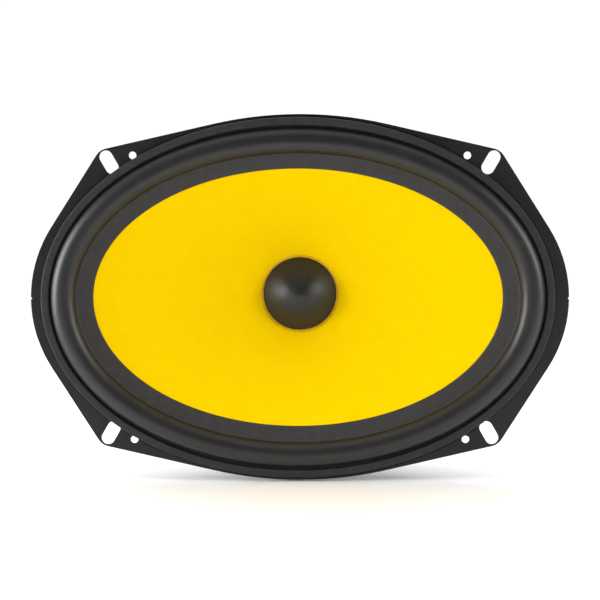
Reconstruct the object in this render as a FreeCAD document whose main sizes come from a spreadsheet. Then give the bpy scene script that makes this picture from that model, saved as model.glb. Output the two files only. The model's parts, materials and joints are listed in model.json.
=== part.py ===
import FreeCAD, Part
import Sketcher

import math
import os
import re

# An oval car woofer, 6 by 9 inch class, in millimetres.
# Each piece is drawn about the cone's axis: x along the oval's long axis, y along its short axis
# and z forwards, out of the front, with z = 0 on the rear face of the mounting flange.
# WORLD then stands the speaker up: the front faces -Y, the long axis lies along X, and +Z is up.

WORLD = FreeCAD.Placement(FreeCAD.Vector(0, 0, 0), FreeCAD.Rotation(FreeCAD.Vector(1, 0, 0), 90))

SIZES = {
    # pressed steel basket
    "frame_length": 236.0,
    "frame_height": 161.0,
    "side_arc_share": 0.978,
    "top_arc_drop": 21.64,
    "ear_radius": 7.0,
    "ear_inset_x": 35.0,
    "ear_inset_y": 21.8,
    "steel": 1.2,
    "slot_inset_x": 34.7,
    "slot_inset_y": 21.0,
    "slot_width": 5.8,
    "slot_length": 11.0,
    "slot_tilt": 30.0,
    "hole_inset_x": 45.0,
    "hole_inset_y": 18.0,
    "hole_radius": 1.68,
    "notch_radius": 0.5,
    "bowl_margin": 3.2,
    "skirt_taper": 2.8,
    "skirt_depth": 8.0,
    "landing_depth": 34.0,
    "landing_radius": 51.5,
    "can_radius": 43.0,
    "can_depth": 11.8,
    "floor_hole_radius": 20.0,
    "window_margin": 4.0,
    "window_corner": 4.0,
    "leg_width": 13.0,
    "diagonal_leg_angle": 40.0,
    "can_vent_radius": 3.2,
    "can_vents": 8.0,
    # front gasket and rubber surround
    "trim_shift": 0.85,
    "gasket_inset_x": 5.4,
    "gasket_inset_y": 1.3,
    "gasket_width": 3.5,
    "gasket_rise": 2.0,
    "gasket_round": 0.6,
    "rubber": 0.6,
    "lip_setback": 0.6,
    "roll_gap_x": 0.4,
    "roll_gap_y": 0.95,
    "roll_half_width": 5.6,
    "roll_rise": 5.5,
    # cone
    "paper": 0.8,
    "inner_lip_width": 6.8,
    "inner_lip_drop": 2.2,
    "seat_depth": 24.0,
    "neck_depth": 28.0,
    "neck_length": 3.5,
    "neck_bevel": 0.2,
    # dust cap
    "cap_radius": 16.5,
    "cap_height": 10.5,
    "cap_power": 1.6,
    "cap_wall": 0.6,
    "cap_glue_width": 1.0,
    "cap_glue_rise": 0.7,
    # moving coil
    "former_radius": 12.75,
    "former_wall": 0.25,
    "former_tail": 2.0,
    "winding_wall": 0.7,
    "winding_length": 12.0,
    "wrap_wall": 0.25,
    "wrap_length": 7.0,
    "glue_gap": 0.05,
    "neck_glue_wall": 1.2,
    "neck_glue_length": 1.8,
    # spider
    "spider_cloth": 0.5,
    "spider_wave": 1.3,
    "spider_waves": 5.0,
    "spider_collar": 2.0,
    "spider_rim_gap": 0.4,
    # motor
    "top_plate_radius": 45.0,
    "top_plate_thickness": 5.0,
    "outer_gap": 0.5,
    "inner_gap": 0.45,
    "magnet_radius": 50.0,
    "magnet_bore_radius": 23.0,
    "magnet_thickness": 15.0,
    "magnet_chamfer": 1.0,
    "back_plate_radius": 45.0,
    "back_plate_thickness": 6.0,
    "back_plate_chamfer": 1.5,
    "pole_vent_radius": 4.5,
    "pole_rise": 0.6,
    "screen_radius": 8.0,
    "screen_thickness": 0.8,
    "screen_gap": 0.1,
    "motor_rivet_circle": 31.0,
    "motor_rivet_radius": 2.0,
    "motor_rivet_head": 3.2,
    "motor_rivet_rise": 1.3,
    "motor_rivet_depth": 3.0,
    "motor_rivets": 4.0,
    "motor_rivet_turn": 45.0,
    "rivet_gap": 0.05,
    # terminals and leads
    "tongue_width": 42.0,
    "tongue_reach": 65.0,
    "tongue_corner": 3.0,
    "board_width": 38.0,
    "board_clearance": 0.9,
    "board_overhang": 1.0,
    "board_thickness": 1.6,
    "board_corner": 1.5,
    "tab_thickness": 0.8,
    "tab_spacing": 22.0,
    "tab_reach": 75.5,
    "positive_tab_width": 4.8,
    "negative_tab_width": 2.8,
    "tab_corner": 0.8,
    "tab_hole_radius": 0.7,
    "tab_hole_inset": 3.2,
    "tab_eye_margin": 0.4,
    "tab_tail": 5.0,
    "terminal_rivet_inset": 4.0,
    "terminal_rivet_radius": 1.2,
    "terminal_rivet_head": 2.0,
    "terminal_rivet_rise": 0.7,
    "pad_spacing": 22.0,
    "pad_y": 30.0,
    "pad_radius": 2.2,
    "pad_rise": 1.8,
    "lead_radius": 0.8,
    "lead_gap": 0.05,
    "lead_drop": 5.0,
    "lead_dip_reach": 3.5,
    "lead_dip_drop": 3.7,
    "lead_low_inset": 8.5,
    "lead_low_rise": 0.7,
    "lead_crest_inset": 1.5,
    "lead_crest": 11.0,
    "lead_crest_run": 4.9,
    "lead_crest_fall": 0.8,
    "lead_stand": 4.0,
    "lead_tail_inset": 1.6,
}

# Names for places that several pieces share, as formulas in the sizes above.
EAR_X = "(frame_length / 2 - ear_inset_x)"
EAR_Y = "(frame_height / 2 - ear_inset_y)"
SIDE_ARC = f"(side_arc_share * {EAR_Y})"
# The top arc's radius lets it fall by top_arc_drop from its crown to the ears.
TOP_ARC = f"(({EAR_X} ^ 2 + top_arc_drop ^ 2) / (2 * top_arc_drop))"
SLOT_X = "(frame_length / 2 - slot_inset_x)"
SLOT_Y = "(frame_height / 2 - slot_inset_y)"
HOLE_X = "(frame_length / 2 - hole_inset_x)"
HOLE_Y = "(frame_height / 2 - hole_inset_y)"
GASKET_X = "(frame_length / 2 - gasket_inset_x)"
GASKET_Y = "(frame_height / 2 - gasket_inset_y)"
ROLL_X = f"({GASKET_X} - gasket_width - roll_gap_x - roll_half_width)"
ROLL_Y = f"({GASKET_Y} - gasket_width - roll_gap_y - roll_half_width)"
BOWL_X = f"({ROLL_X} + bowl_margin)"
BOWL_Y = f"({ROLL_Y} + bowl_margin)"
SKIRT_X = f"({BOWL_X} - skirt_taper)"
SKIRT_Y = f"({BOWL_Y} - skirt_taper)"
FLOOR = "(-landing_depth - can_depth)"
TRIM_X = "-trim_shift"
LIP_TOP = "(steel + rubber)"
CONE_EDGE_X = f"({ROLL_X} - roll_half_width + rubber / 2)"
CONE_EDGE_Y = f"({ROLL_Y} - roll_half_width + rubber / 2)"
PAINT_X = f"({ROLL_X} - roll_half_width - inner_lip_width)"
PAINT_Y = f"({ROLL_Y} - roll_half_width - inner_lip_width)"
PAINT_Z = "(steel - inner_lip_drop)"
FORMER_OUT = "(former_radius + former_wall)"
NECK_IN = f"({FORMER_OUT} + glue_gap)"
NECK_OUT = f"({NECK_IN} + paper)"
NECK_END = "(-neck_depth - neck_length)"
SEAT = "(cap_radius + cap_glue_width)"
# The cap's rim stands on the straight wall between the neck and the seat.
CAP_SHARE = f"((cap_radius - {NECK_IN}) / ({SEAT} - {NECK_IN}))"
CAP_RIM_Z = f"(-neck_depth + (neck_depth - seat_depth) * {CAP_SHARE} + glue_gap)"
PLATE_FRONT = f"({FLOOR} - steel)"
PLATE_REAR = f"({PLATE_FRONT} - top_plate_thickness)"
MAGNET_REAR = f"({PLATE_REAR} - magnet_thickness)"
YOKE_REAR = f"({MAGNET_REAR} - back_plate_thickness)"
COIL_FRONT = f"({PLATE_FRONT} - top_plate_thickness / 2 + winding_length / 2)"
RIVET_X = "(motor_rivet_circle * cos(motor_rivet_turn * 1 deg))"
RIVET_Y = "(motor_rivet_circle * sin(motor_rivet_turn * 1 deg))"
LEG_SLOPE = f"(({SKIRT_Y} - landing_radius) / (landing_depth + steel / 2 - skirt_depth))"
# The board stops where the bottom leg's back is board_clearance in front of the board's face.
BOARD_INNER = f"(landing_radius + steel + (steel + board_thickness + board_clearance) * {LEG_SLOPE})"
BOARD_OUTER = "(tongue_reach + board_overhang)"
BOARD_FRONT = "(-landing_depth + board_thickness)"
TAB_FRONT = f"({BOARD_FRONT} + tab_thickness)"
EYELET_Y = "(-tongue_reach + terminal_rivet_inset)"

ROLL_STEP = 15  # degrees between the ovals that make the surround's roll
CROWN_STEPS = 12  # points along the dust cap's curve
WAVE_STEPS = 12  # points along each of the spider's waves
HALVINGS = 40  # steps in the search for the cone's height over a solder pad
BEND_SHARE = 0.45  # of the shorter run beside it, which a lead's bend may use up

doc = FreeCAD.newDocument("oval_woofer")
sheet = doc.addObject("Spreadsheet::Sheet", "sizes")
ALIAS = re.compile(r"\b(" + "|".join(SIZES) + r")\b")


def fill_sheet():
    for row, (name, value) in enumerate(SIZES.items(), start=1):
        sheet.set(f"A{row}", name)
        sheet.set(f"B{row}", str(value))
        sheet.setAlias(f"B{row}", name)
    doc.recompute()


def formula(text):
    """The text with each size's name pointing at its cell."""
    return ALIAS.sub(r"sizes.\1", text)


def size(text):
    """The present value of a formula, as a number."""
    return float(sheet.evalExpression(formula(text)))


def bind(target, prop, text):
    target.setExpression(prop, formula(text))


# ---- sketches and bodies -------------------------------------------------------------------------


def new_body(name):
    body = doc.addObject("PartDesign::Body", name)
    doc.recompute()
    return body


def origin_feature(body, role):
    return next(f for f in body.Origin.OriginFeatures if f.Role == role)


def new_sketch(body, name, role="XY_Plane", height="0"):
    sketch = body.newObject("Sketcher::SketchObject", name)
    sketch.AttachmentSupport = (origin_feature(body, role), [""])
    sketch.MapMode = "FlatFace"
    bind(sketch, "AttachmentOffset.Base.z", height)
    return sketch


def dimension(sketch, constraint, name, text):
    index = sketch.addConstraint(constraint)
    sketch.renameConstraint(index, name)
    bind(sketch, f"Constraints.{name}", text)


def place_point(sketch, edge, end, name, x, y):
    """Ties one end of an edge to its distances from the sketch's origin."""
    dimension(sketch, Sketcher.Constraint("DistanceX", -1, 1, edge, end, size(x)), name + "_x", x)
    dimension(sketch, Sketcher.Constraint("DistanceY", -1, 1, edge, end, size(y)), name + "_y", y)


def add_circle(sketch, name, radius, x="0", y="0"):
    centre = FreeCAD.Vector(size(x), size(y), 0)
    edge = sketch.addGeometry(Part.Circle(centre, FreeCAD.Vector(0, 0, 1), size(radius)), False)
    place_point(sketch, edge, 3, name, x, y)
    dimension(sketch, Sketcher.Constraint("Radius", edge, size(radius)), name + "_radius", radius)


def add_polygon(sketch, name, points):
    corners = [FreeCAD.Vector(size(x), size(y), 0) for x, y in points]
    edges = [
        sketch.addGeometry(Part.LineSegment(a, b), False)
        for a, b in zip(corners, corners[1:] + corners[:1])
    ]
    for edge, following in zip(edges, edges[1:] + edges[:1]):
        sketch.addConstraint(Sketcher.Constraint("Coincident", edge, 2, following, 1))
    for number, (edge, (x, y)) in enumerate(zip(edges, points)):
        place_point(sketch, edge, 1, f"{name}_{number}", x, y)


def pad(body, sketch, length, name):
    feature = body.newObject("PartDesign::Pad", name)
    feature.Profile = sketch
    bind(feature, "Length", length)
    return feature


def pocket(body, sketch, length, name, reverse=False):
    feature = body.newObject("PartDesign::Pocket", name)
    feature.Profile = sketch
    feature.Reversed = reverse
    bind(feature, "Length", length)
    return feature


def ring_body(name, inner, outer, rear, length):
    """A flat or tubular ring about the axis."""
    body = new_body(name)
    sketch = new_sketch(body, name + "_section", height=rear)
    add_circle(sketch, "outer", outer)
    add_circle(sketch, "inner", inner)
    pad(body, sketch, length, name + "_pad")
    return body


def turned_body(name, points):
    """A piece turned about the axis from a polygon of (radius, z) corners."""
    body = new_body(name)
    sketch = new_sketch(body, name + "_section", "XZ_Plane")
    add_polygon(sketch, "corner", points)
    turn(body, sketch, name)
    return body


def turn(body, sketch, name):
    feature = body.newObject("PartDesign::Revolution", name + "_turned")
    feature.Profile = sketch
    feature.ReferenceAxis = (sketch, ["V_Axis"])
    feature.Angle = 360
    return feature


def polar(body, features, count, name):
    pattern = body.newObject("PartDesign::PolarPattern", name)
    pattern.Originals = features
    pattern.Axis = (origin_feature(body, "Z_Axis"), [""])
    pattern.Angle = 360
    bind(pattern, "Occurrences", count)
    body.Tip = pattern
    return pattern


def chamfer(body, base, edges, length, name):
    feature = body.newObject("PartDesign::Chamfer", name)
    feature.Base = (base, edges)
    bind(feature, "Size", length)
    return feature


# ---- ovals and booleans --------------------------------------------------------------------------


def new_oval(name, half_length, half_height, z, x):
    oval = doc.addObject("Part::Ellipse", name)
    bind(oval, "MajorRadius", half_length)
    bind(oval, "MinorRadius", half_height)
    bind(oval, "Placement.Base.x", x)
    bind(oval, "Placement.Base.z", z)
    return oval


def oval_solid(name, stations, ring=False):
    """A solid through ovals of (half length, half height, z, x of its centre), in order.
    A ring runs from the last oval back to the first, so the ovals are the corners of its section."""
    loft = doc.addObject("Part::Loft", name)
    loft.Sections = [new_oval(f"{name}_oval_{n}", *station) for n, station in enumerate(stations)]
    loft.Solid = True
    loft.Ruled = True
    loft.Closed = ring
    return loft


def cut(name, base, tool):
    feature = doc.addObject("Part::Cut", name)
    feature.Base = base
    feature.Tool = tool
    return feature


def fuse(name, shapes):
    feature = doc.addObject("Part::MultiFuse", name)
    feature.Shapes = shapes
    feature.Refine = True
    return feature


def new_box(name, length, width, height, x, y, z):
    box = doc.addObject("Part::Box", name)
    for prop, text in (("Length", length), ("Width", width), ("Height", height)):
        bind(box, prop, text)
    for axis, text in (("x", x), ("y", y), ("z", z)):
        bind(box, f"Placement.Base.{axis}", text)
    return box


def new_cylinder(name, radius, height, x, y, z):
    cylinder = doc.addObject("Part::Cylinder", name)
    bind(cylinder, "Radius", radius)
    bind(cylinder, "Height", height)
    for axis, text in (("x", x), ("y", y), ("z", z)):
        bind(cylinder, f"Placement.Base.{axis}", text)
    return cylinder


def is_corner(shape, edge):
    """True where two faces meet at an angle, not where one runs on smoothly or meets its own seam."""
    faces = shape.ancestorsOfType(edge, Part.Face)
    if len(faces) < 2:
        return False
    middle = edge.valueAt((edge.FirstParameter + edge.LastParameter) / 2)
    normals = [face.normalAt(*face.Surface.parameter(middle)) for face in faces]
    return 0.1 < normals[0].getAngle(normals[1]) < math.pi - 0.1


def upright_edges(shape):
    """The numbers of a shape's straight corner edges that run along z."""
    return [
        number
        for number, edge in enumerate(shape.Edges, start=1)
        if abs(edge.tangentAt(edge.FirstParameter).z) > 0.999 and is_corner(shape, edge)
    ]


def round_upright(name, base, radius):
    doc.recompute()
    feature = doc.addObject("Part::Fillet", name)
    feature.Base = base
    feature.Edges = [(number, size(radius), size(radius)) for number in upright_edges(base.Shape)]
    return feature


# ---- basket --------------------------------------------------------------------------------------


def quarter_outline(sketch):
    """One quarter of the flange: side arc, side edge, ear, top edge and top arc, all tangent."""
    half_x, half_y = size("frame_length / 2"), size("frame_height / 2")
    side, top, ear = size(SIDE_ARC), size(TOP_ARC), size("ear_radius")
    side_c = FreeCAD.Vector(half_x - side, 0, 0)
    top_c = FreeCAD.Vector(0, half_y - top, 0)
    ear_c = FreeCAD.Vector(size(EAR_X), size(EAR_Y), 0)
    side_turn = tangent_angle(side_c, side, ear_c, ear)
    top_turn = tangent_angle(ear_c, ear, top_c, top)
    origin, end_x = FreeCAD.Vector(0, 0, 0), FreeCAD.Vector(half_x, 0, 0)
    end_y = FreeCAD.Vector(0, half_y, 0)
    up = FreeCAD.Vector(0, 0, 1)
    pieces = [
        Part.LineSegment(origin, end_x),
        Part.ArcOfCircle(Part.Circle(side_c, up, side), 0, side_turn),
        Part.LineSegment(on_circle(side_c, side, side_turn), on_circle(ear_c, ear, side_turn)),
        Part.ArcOfCircle(Part.Circle(ear_c, up, ear), side_turn, top_turn),
        Part.LineSegment(on_circle(ear_c, ear, top_turn), on_circle(top_c, top, top_turn)),
        Part.ArcOfCircle(Part.Circle(top_c, up, top), top_turn, math.pi / 2),
        Part.LineSegment(end_y, origin),
    ]
    for piece in pieces:
        sketch.addGeometry(piece, False)
    for a, b in ((0, 1), (5, 6), (6, 0)):
        sketch.addConstraint(Sketcher.Constraint("Coincident", a, 2, b, 1))
    for a, b in ((1, 2), (2, 3), (3, 4), (4, 5)):
        sketch.addConstraint(Sketcher.Constraint("Tangent", a, 2, b, 1))
    sketch.addConstraint(Sketcher.Constraint("Coincident", 0, 1, -1, 1))
    sketch.addConstraint(Sketcher.Constraint("Horizontal", 0))
    sketch.addConstraint(Sketcher.Constraint("Vertical", 6))
    sketch.addConstraint(Sketcher.Constraint("PointOnObject", 1, 3, -1))
    sketch.addConstraint(Sketcher.Constraint("PointOnObject", 5, 3, -2))
    length = Sketcher.Constraint("DistanceX", 0, 1, 0, 2, half_x)
    height = Sketcher.Constraint("DistanceY", 6, 2, 6, 1, half_y)
    dimension(sketch, length, "half_length", "frame_length / 2")
    dimension(sketch, height, "half_height", "frame_height / 2")
    dimension(sketch, Sketcher.Constraint("Radius", 1, side), "side_arc", SIDE_ARC)
    dimension(sketch, Sketcher.Constraint("Radius", 3, ear), "ear_arc", "ear_radius")
    dimension(sketch, Sketcher.Constraint("Radius", 5, top), "top_arc", TOP_ARC)
    place_point(sketch, 3, 3, "ear", EAR_X, EAR_Y)


def on_circle(centre, radius, angle):
    return centre + FreeCAD.Vector(math.cos(angle), math.sin(angle), 0) * radius


def tangent_angle(centre_a, radius_a, centre_b, radius_b):
    """The direction of the normal that a line touching both circles on their outer side shares."""
    across = centre_b - centre_a
    lean = math.asin((radius_a - radius_b) / across.Length)
    return math.atan2(across.y, across.x) - math.pi / 2 + lean


def slot_outline(sketch):
    """A slot whose long axis leans outwards from y by slot_tilt."""
    radius = size("slot_width / 2")
    tilt = math.radians(size("slot_tilt"))
    reach = "(slot_length - slot_width) / 2"
    along = FreeCAD.Vector(math.sin(tilt), math.cos(tilt), 0) * size(reach)
    middle = FreeCAD.Vector(size(SLOT_X), size(SLOT_Y), 0)
    outer_c, inner_c = middle + along, middle - along
    near, far = -tilt, math.pi - tilt
    up = FreeCAD.Vector(0, 0, 1)
    pieces = [
        Part.ArcOfCircle(Part.Circle(outer_c, up, radius), near, far),
        Part.LineSegment(on_circle(outer_c, radius, far), on_circle(inner_c, radius, far)),
        Part.ArcOfCircle(Part.Circle(inner_c, up, radius), far, near + 2 * math.pi),
        Part.LineSegment(on_circle(inner_c, radius, near), on_circle(outer_c, radius, near)),
    ]
    for piece in pieces:
        sketch.addGeometry(piece, False)
    for a, b in ((0, 1), (1, 2), (2, 3), (3, 0)):
        sketch.addConstraint(Sketcher.Constraint("Tangent", a, 2, b, 1))
    dimension(sketch, Sketcher.Constraint("Radius", 0, radius), "slot_radius", "slot_width / 2")
    for edge, sign, name in ((0, "+", "outer_end"), (2, "-", "inner_end")):
        x = f"{SLOT_X} {sign} {reach} * sin(slot_tilt * 1 deg)"
        y = f"{SLOT_Y} {sign} {reach} * cos(slot_tilt * 1 deg)"
        place_point(sketch, edge, 3, name, x, y)


def mirror_both_ways(body, features, name):
    """Repeats a quarter's features in all four quarters."""
    pattern = body.newObject("PartDesign::MultiTransform", name)
    pattern.Originals = features
    mirrors = []
    for role in ("YZ_Plane", "XZ_Plane"):
        mirror = body.newObject("PartDesign::Mirrored", f"{name}_{role}")
        mirror.MirrorPlane = (origin_feature(body, role), [""])
        mirrors.append(mirror)
    pattern.Transformations = mirrors
    body.Tip = pattern
    return pattern


def flange_body():
    body = new_body("flange_blank")
    outline = new_sketch(body, "flange_quarter")
    quarter_outline(outline)
    plate = pad(body, outline, "steel", "flange_quarter_pad")
    slot = new_sketch(body, "slot")
    slot_outline(slot)
    slot_cut = pocket(body, slot, "steel", "slot_cut", reverse=True)
    hole = new_sketch(body, "hole")
    add_circle(hole, "screw_hole", "hole_radius", HOLE_X, HOLE_Y)
    hole_cut = pocket(body, hole, "steel", "hole_cut", reverse=True)
    doc.recompute()
    mirror_both_ways(body, [plate, slot_cut, hole_cut], "flange_whole")
    return body


def bowl_envelope():
    return oval_solid(
        "bowl_envelope",
        [
            ("landing_radius + steel", "landing_radius + steel", "-landing_depth - steel", "0"),
            (f"{SKIRT_X} + steel", f"{SKIRT_Y} + steel", "-skirt_depth - steel / 2", "0"),
            (f"{BOWL_X} + steel", f"{BOWL_Y} + steel", "steel / 2", "0"),
        ],
    )


def bowl_hollow():
    return oval_solid(
        "bowl_hollow",
        [
            ("landing_radius", "landing_radius", "-landing_depth", "0"),
            (SKIRT_X, SKIRT_Y, "-skirt_depth", "0"),
            (BOWL_X, BOWL_Y, "0", "0"),
            (BOWL_X, BOWL_Y, "2 * steel", "0"),
        ],
    )


def leg_bar(name, angle):
    """A bar across the whole bowl that keeps two opposite legs out of the window cut."""
    cos, sin = f"cos({angle} * 1 deg)", f"sin({angle} * 1 deg)"
    bar = new_box(
        name,
        "2 * frame_length",
        "leg_width",
        "2 * landing_depth",
        f"-frame_length * {cos} + leg_width / 2 * {sin}",
        f"-frame_length * {sin} - leg_width / 2 * {cos}",
        "-2 * landing_depth",
    )
    bind(bar, "Placement.Rotation.Angle", f"{angle} * 1 deg")
    return bar


def window_cutter():
    outer_x, outer_y = f"{SKIRT_X} - window_margin", f"{SKIRT_Y} - window_margin"
    inner = "landing_radius + window_margin"
    low, high = "-landing_depth - 2 * steel", "-skirt_depth"
    stations = [(outer_x, outer_y, low, "0"), (outer_x, outer_y, high, "0")]
    outer = oval_solid("window_outside", stations)
    island = new_cylinder(
        "window_island", inner, "2 * landing_depth", "0", "0", "-1.5 * landing_depth"
    )
    angles = ("0", "90", "diagonal_leg_angle", "-diagonal_leg_angle")
    bars = [leg_bar(f"leg_bar_{number}", angle) for number, angle in enumerate(angles)]
    keep = fuse("window_keep", [island] + bars)
    return round_upright("window_cutter", cut("window_blanks", outer, keep), "window_corner")


def can_vents():
    """Cylinders right across the can, each of which makes two opposite vents."""
    vents = []
    count = int(size("can_vents"))
    for number in range(count // 2):
        angle = 360 / count * (number + 0.5)
        vent = new_cylinder(
            f"can_vent_{number}",
            "can_vent_radius",
            "3 * can_radius",
            f"-1.5 * can_radius * cos({angle} * 1 deg)",
            f"-1.5 * can_radius * sin({angle} * 1 deg)",
            "-landing_depth - can_depth / 2",
        )
        across = on_circle(FreeCAD.Vector(0, 0, 0), 1, math.radians(angle))
        vent.Placement.Rotation = FreeCAD.Rotation(FreeCAD.Vector(0, 0, 1), across)
        vents.append(vent)
    return vents


def tongue():
    """The flat tab that carries the terminals, on the plane of the spider's landing."""
    blank = new_box(
        "tongue_blank",
        "tongue_width",
        "tongue_reach - landing_radius + steel",
        "steel",
        "-tongue_width / 2",
        "-tongue_reach",
        "-landing_depth - steel",
    )
    rounded = round_upright("tongue_plate", blank, "tongue_corner")
    return cut("tongue", rounded, fuse("tongue_holes", terminal_holes("tongue_hole")))


def terminal_holes(name):
    return [
        new_cylinder(
            f"{name}_{number}",
            "terminal_rivet_radius + rivet_gap",
            "3 * board_thickness + 3 * steel",
            f"{side} * tab_spacing / 2",
            EYELET_Y,
            "-landing_depth - 2 * steel",
        )
        for number, side in enumerate((-1, 1))
    ]


def motor_rivet_holes(name, z, height):
    holes = []
    count = int(size("motor_rivets"))
    for number in range(count):
        angle = f"(({360 / count * number} + motor_rivet_turn) * 1 deg)"
        holes.append(
            new_cylinder(
                f"{name}_{number}",
                "motor_rivet_radius + rivet_gap",
                height,
                f"motor_rivet_circle * cos({angle})",
                f"motor_rivet_circle * sin({angle})",
                z,
            )
        )
    return holes


def edge_notches():
    """The half-round nick in the middle of each of the flange's ends."""
    return [
        new_cylinder(f"notch_{n}", "notch_radius", "3 * steel", f"{side} * frame_length / 2", "0", "-steel")
        for n, side in enumerate((-1, 1))
    ]


def basket():
    can = new_cylinder("can_outside", "can_radius + steel", "can_depth + steel", "0", "0", PLATE_FRONT)
    hollow = new_cylinder("can_inside", "can_radius", f"-{FLOOR}", "0", "0", FLOOR)
    behind, through = f"{FLOOR} - 2 * steel", "4 * steel"
    floor_hole = new_cylinder("floor_hole", "floor_hole_radius", through, "0", "0", behind)
    rivets = motor_rivet_holes("floor_rivet_hole", behind, through)
    tools = [bowl_hollow(), hollow, floor_hole, window_cutter()] + edge_notches() + can_vents() + rivets
    blank = fuse("basket_blank", [flange_body(), bowl_envelope(), can])
    pressed = cut("basket_pressed", blank, fuse("basket_cuts", tools))
    return fuse("basket", [pressed, tongue()])


# ---- gasket and surround -------------------------------------------------------------------------


def gasket_ring():
    def corner(inset, rise):
        height = f"{LIP_TOP} + {rise}"
        return (f"{GASKET_X} - ({inset})", f"{GASKET_Y} - ({inset})", height, TRIM_X)

    return oval_solid(
        "gasket_ring",
        [
            corner("0", "0"),
            corner("0", "gasket_rise - gasket_round"),
            corner("gasket_round", "gasket_rise"),
            corner("gasket_width - gasket_round", "gasket_rise"),
            corner("gasket_width", "gasket_rise - gasket_round"),
            corner("gasket_width", "0"),
        ],
        ring=True,
    )


def roll_station(degrees, shrink):
    """A point of the half-round roll; shrink takes the rubber's thickness off for its hollow side."""
    swing = f"(roll_half_width - {shrink}) * cos({degrees} * 1 deg)"
    height = f"steel + (roll_rise - {shrink}) * sin({degrees} * 1 deg)"
    return (f"{ROLL_X} + {swing}", f"{ROLL_Y} + {swing}", height, TRIM_X)


def surround():
    """Outer lip on the flange, half roll, and inner lip on the cone, as one skin."""
    outer = (f"{GASKET_X} - lip_setback", f"{GASKET_Y} - lip_setback")
    roll_foot = (f"{ROLL_X} + roll_half_width", f"{ROLL_Y} + roll_half_width")
    hollow_foot = (f"{roll_foot[0]} - rubber", f"{roll_foot[1]} - rubber")
    paint = (PAINT_X, PAINT_Y)
    degrees = range(ROLL_STEP, 180, ROLL_STEP)
    front = [roll_station(angle, "0") for angle in degrees]
    back = [roll_station(angle, "rubber") for angle in reversed(degrees)]
    return oval_solid(
        "surround",
        [
            (*outer, "steel", TRIM_X),
            (*outer, LIP_TOP, TRIM_X),
            (*roll_foot, LIP_TOP, TRIM_X),
            *front,
            (*paint, f"{PAINT_Z} + rubber", TRIM_X),
            (*paint, PAINT_Z, TRIM_X),
            (CONE_EDGE_X, CONE_EDGE_Y, "steel", TRIM_X),
            *back,
            (*hollow_foot, "steel", TRIM_X),
        ],
        ring=True,
    )


# ---- cone, dust cap and coil ---------------------------------------------------------------------


def cone():
    """Painted front from the rim to the neck, then the back, a paper's thickness behind it."""
    edge = (CONE_EDGE_X, CONE_EDGE_Y)
    paint = (PAINT_X, PAINT_Y)
    return oval_solid(
        "cone",
        [
            (*edge, "steel", TRIM_X),
            (*paint, PAINT_Z, TRIM_X),
            (SEAT, SEAT, "-seat_depth", "0"),
            (NECK_IN, NECK_IN, "-neck_depth", "0"),
            (NECK_IN, NECK_IN, NECK_END, "0"),
            (NECK_OUT, NECK_OUT, f"{NECK_END} + neck_bevel", "0"),
            (NECK_OUT, NECK_OUT, "-neck_depth - paper / 2", "0"),
            (f"{SEAT} + paper / 2", f"{SEAT} + paper / 2", "-seat_depth - paper", "0"),
            (*paint, f"{PAINT_Z} - paper", TRIM_X),
            (*edge, "steel - paper", TRIM_X),
        ],
        ring=True,
    )


def dust_cap():
    """A shell turned from a curve that falls faster and faster from a soft point to the rim."""
    radius, height, wall = size("cap_radius"), size("cap_height"), size("cap_wall")
    power, rim_z = size("cap_power"), size(CAP_RIM_Z)
    inner_radius = radius * (1 - wall / height) ** (1 / power)

    def crown(reach, thickness):
        points = []
        for step in range(CROWN_STEPS + 1):
            r = reach * math.sin(math.pi / 2 * step / CROWN_STEPS)
            z = rim_z + height * (1 - (r / radius) ** power) - thickness
            points.append(FreeCAD.Vector(r, 0, z))
        curve = Part.BSplineCurve()
        curve.interpolate(points)
        return curve

    outer, inner = crown(radius, 0), crown(inner_radius, wall)
    outline = [
        outer.toShape(),
        Part.makeLine(outer.EndPoint, inner.EndPoint),
        inner.toShape(),
        Part.makeLine(inner.StartPoint, outer.StartPoint),
    ]
    return turned_feature("dust_cap", outline)


def turned_feature(name, outline):
    """A piece turned about the axis from a closed outline in the plane y = 0."""
    face = Part.Face(Part.Wire(Part.__sortEdges__(outline)))
    feature = doc.addObject("Part::Feature", name)
    feature.Shape = face.revolve(FreeCAD.Vector(0, 0, 0), FreeCAD.Vector(0, 0, 1), 360)
    return feature


def dust_cap_glue():
    """The bead round the cap's rim, from the rim out to where the cone starts to open."""
    inner = "cap_radius + glue_gap"
    outer = f"{SEAT} - glue_gap"
    return turned_body(
        "dust_cap_glue",
        [
            (inner, f"{CAP_RIM_Z} + cap_glue_rise + glue_gap"),
            (inner, f"{CAP_RIM_Z} + glue_gap * 2"),
            (outer, "-seat_depth"),
            (outer, "-seat_depth + cap_glue_rise"),
        ],
    )


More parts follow.
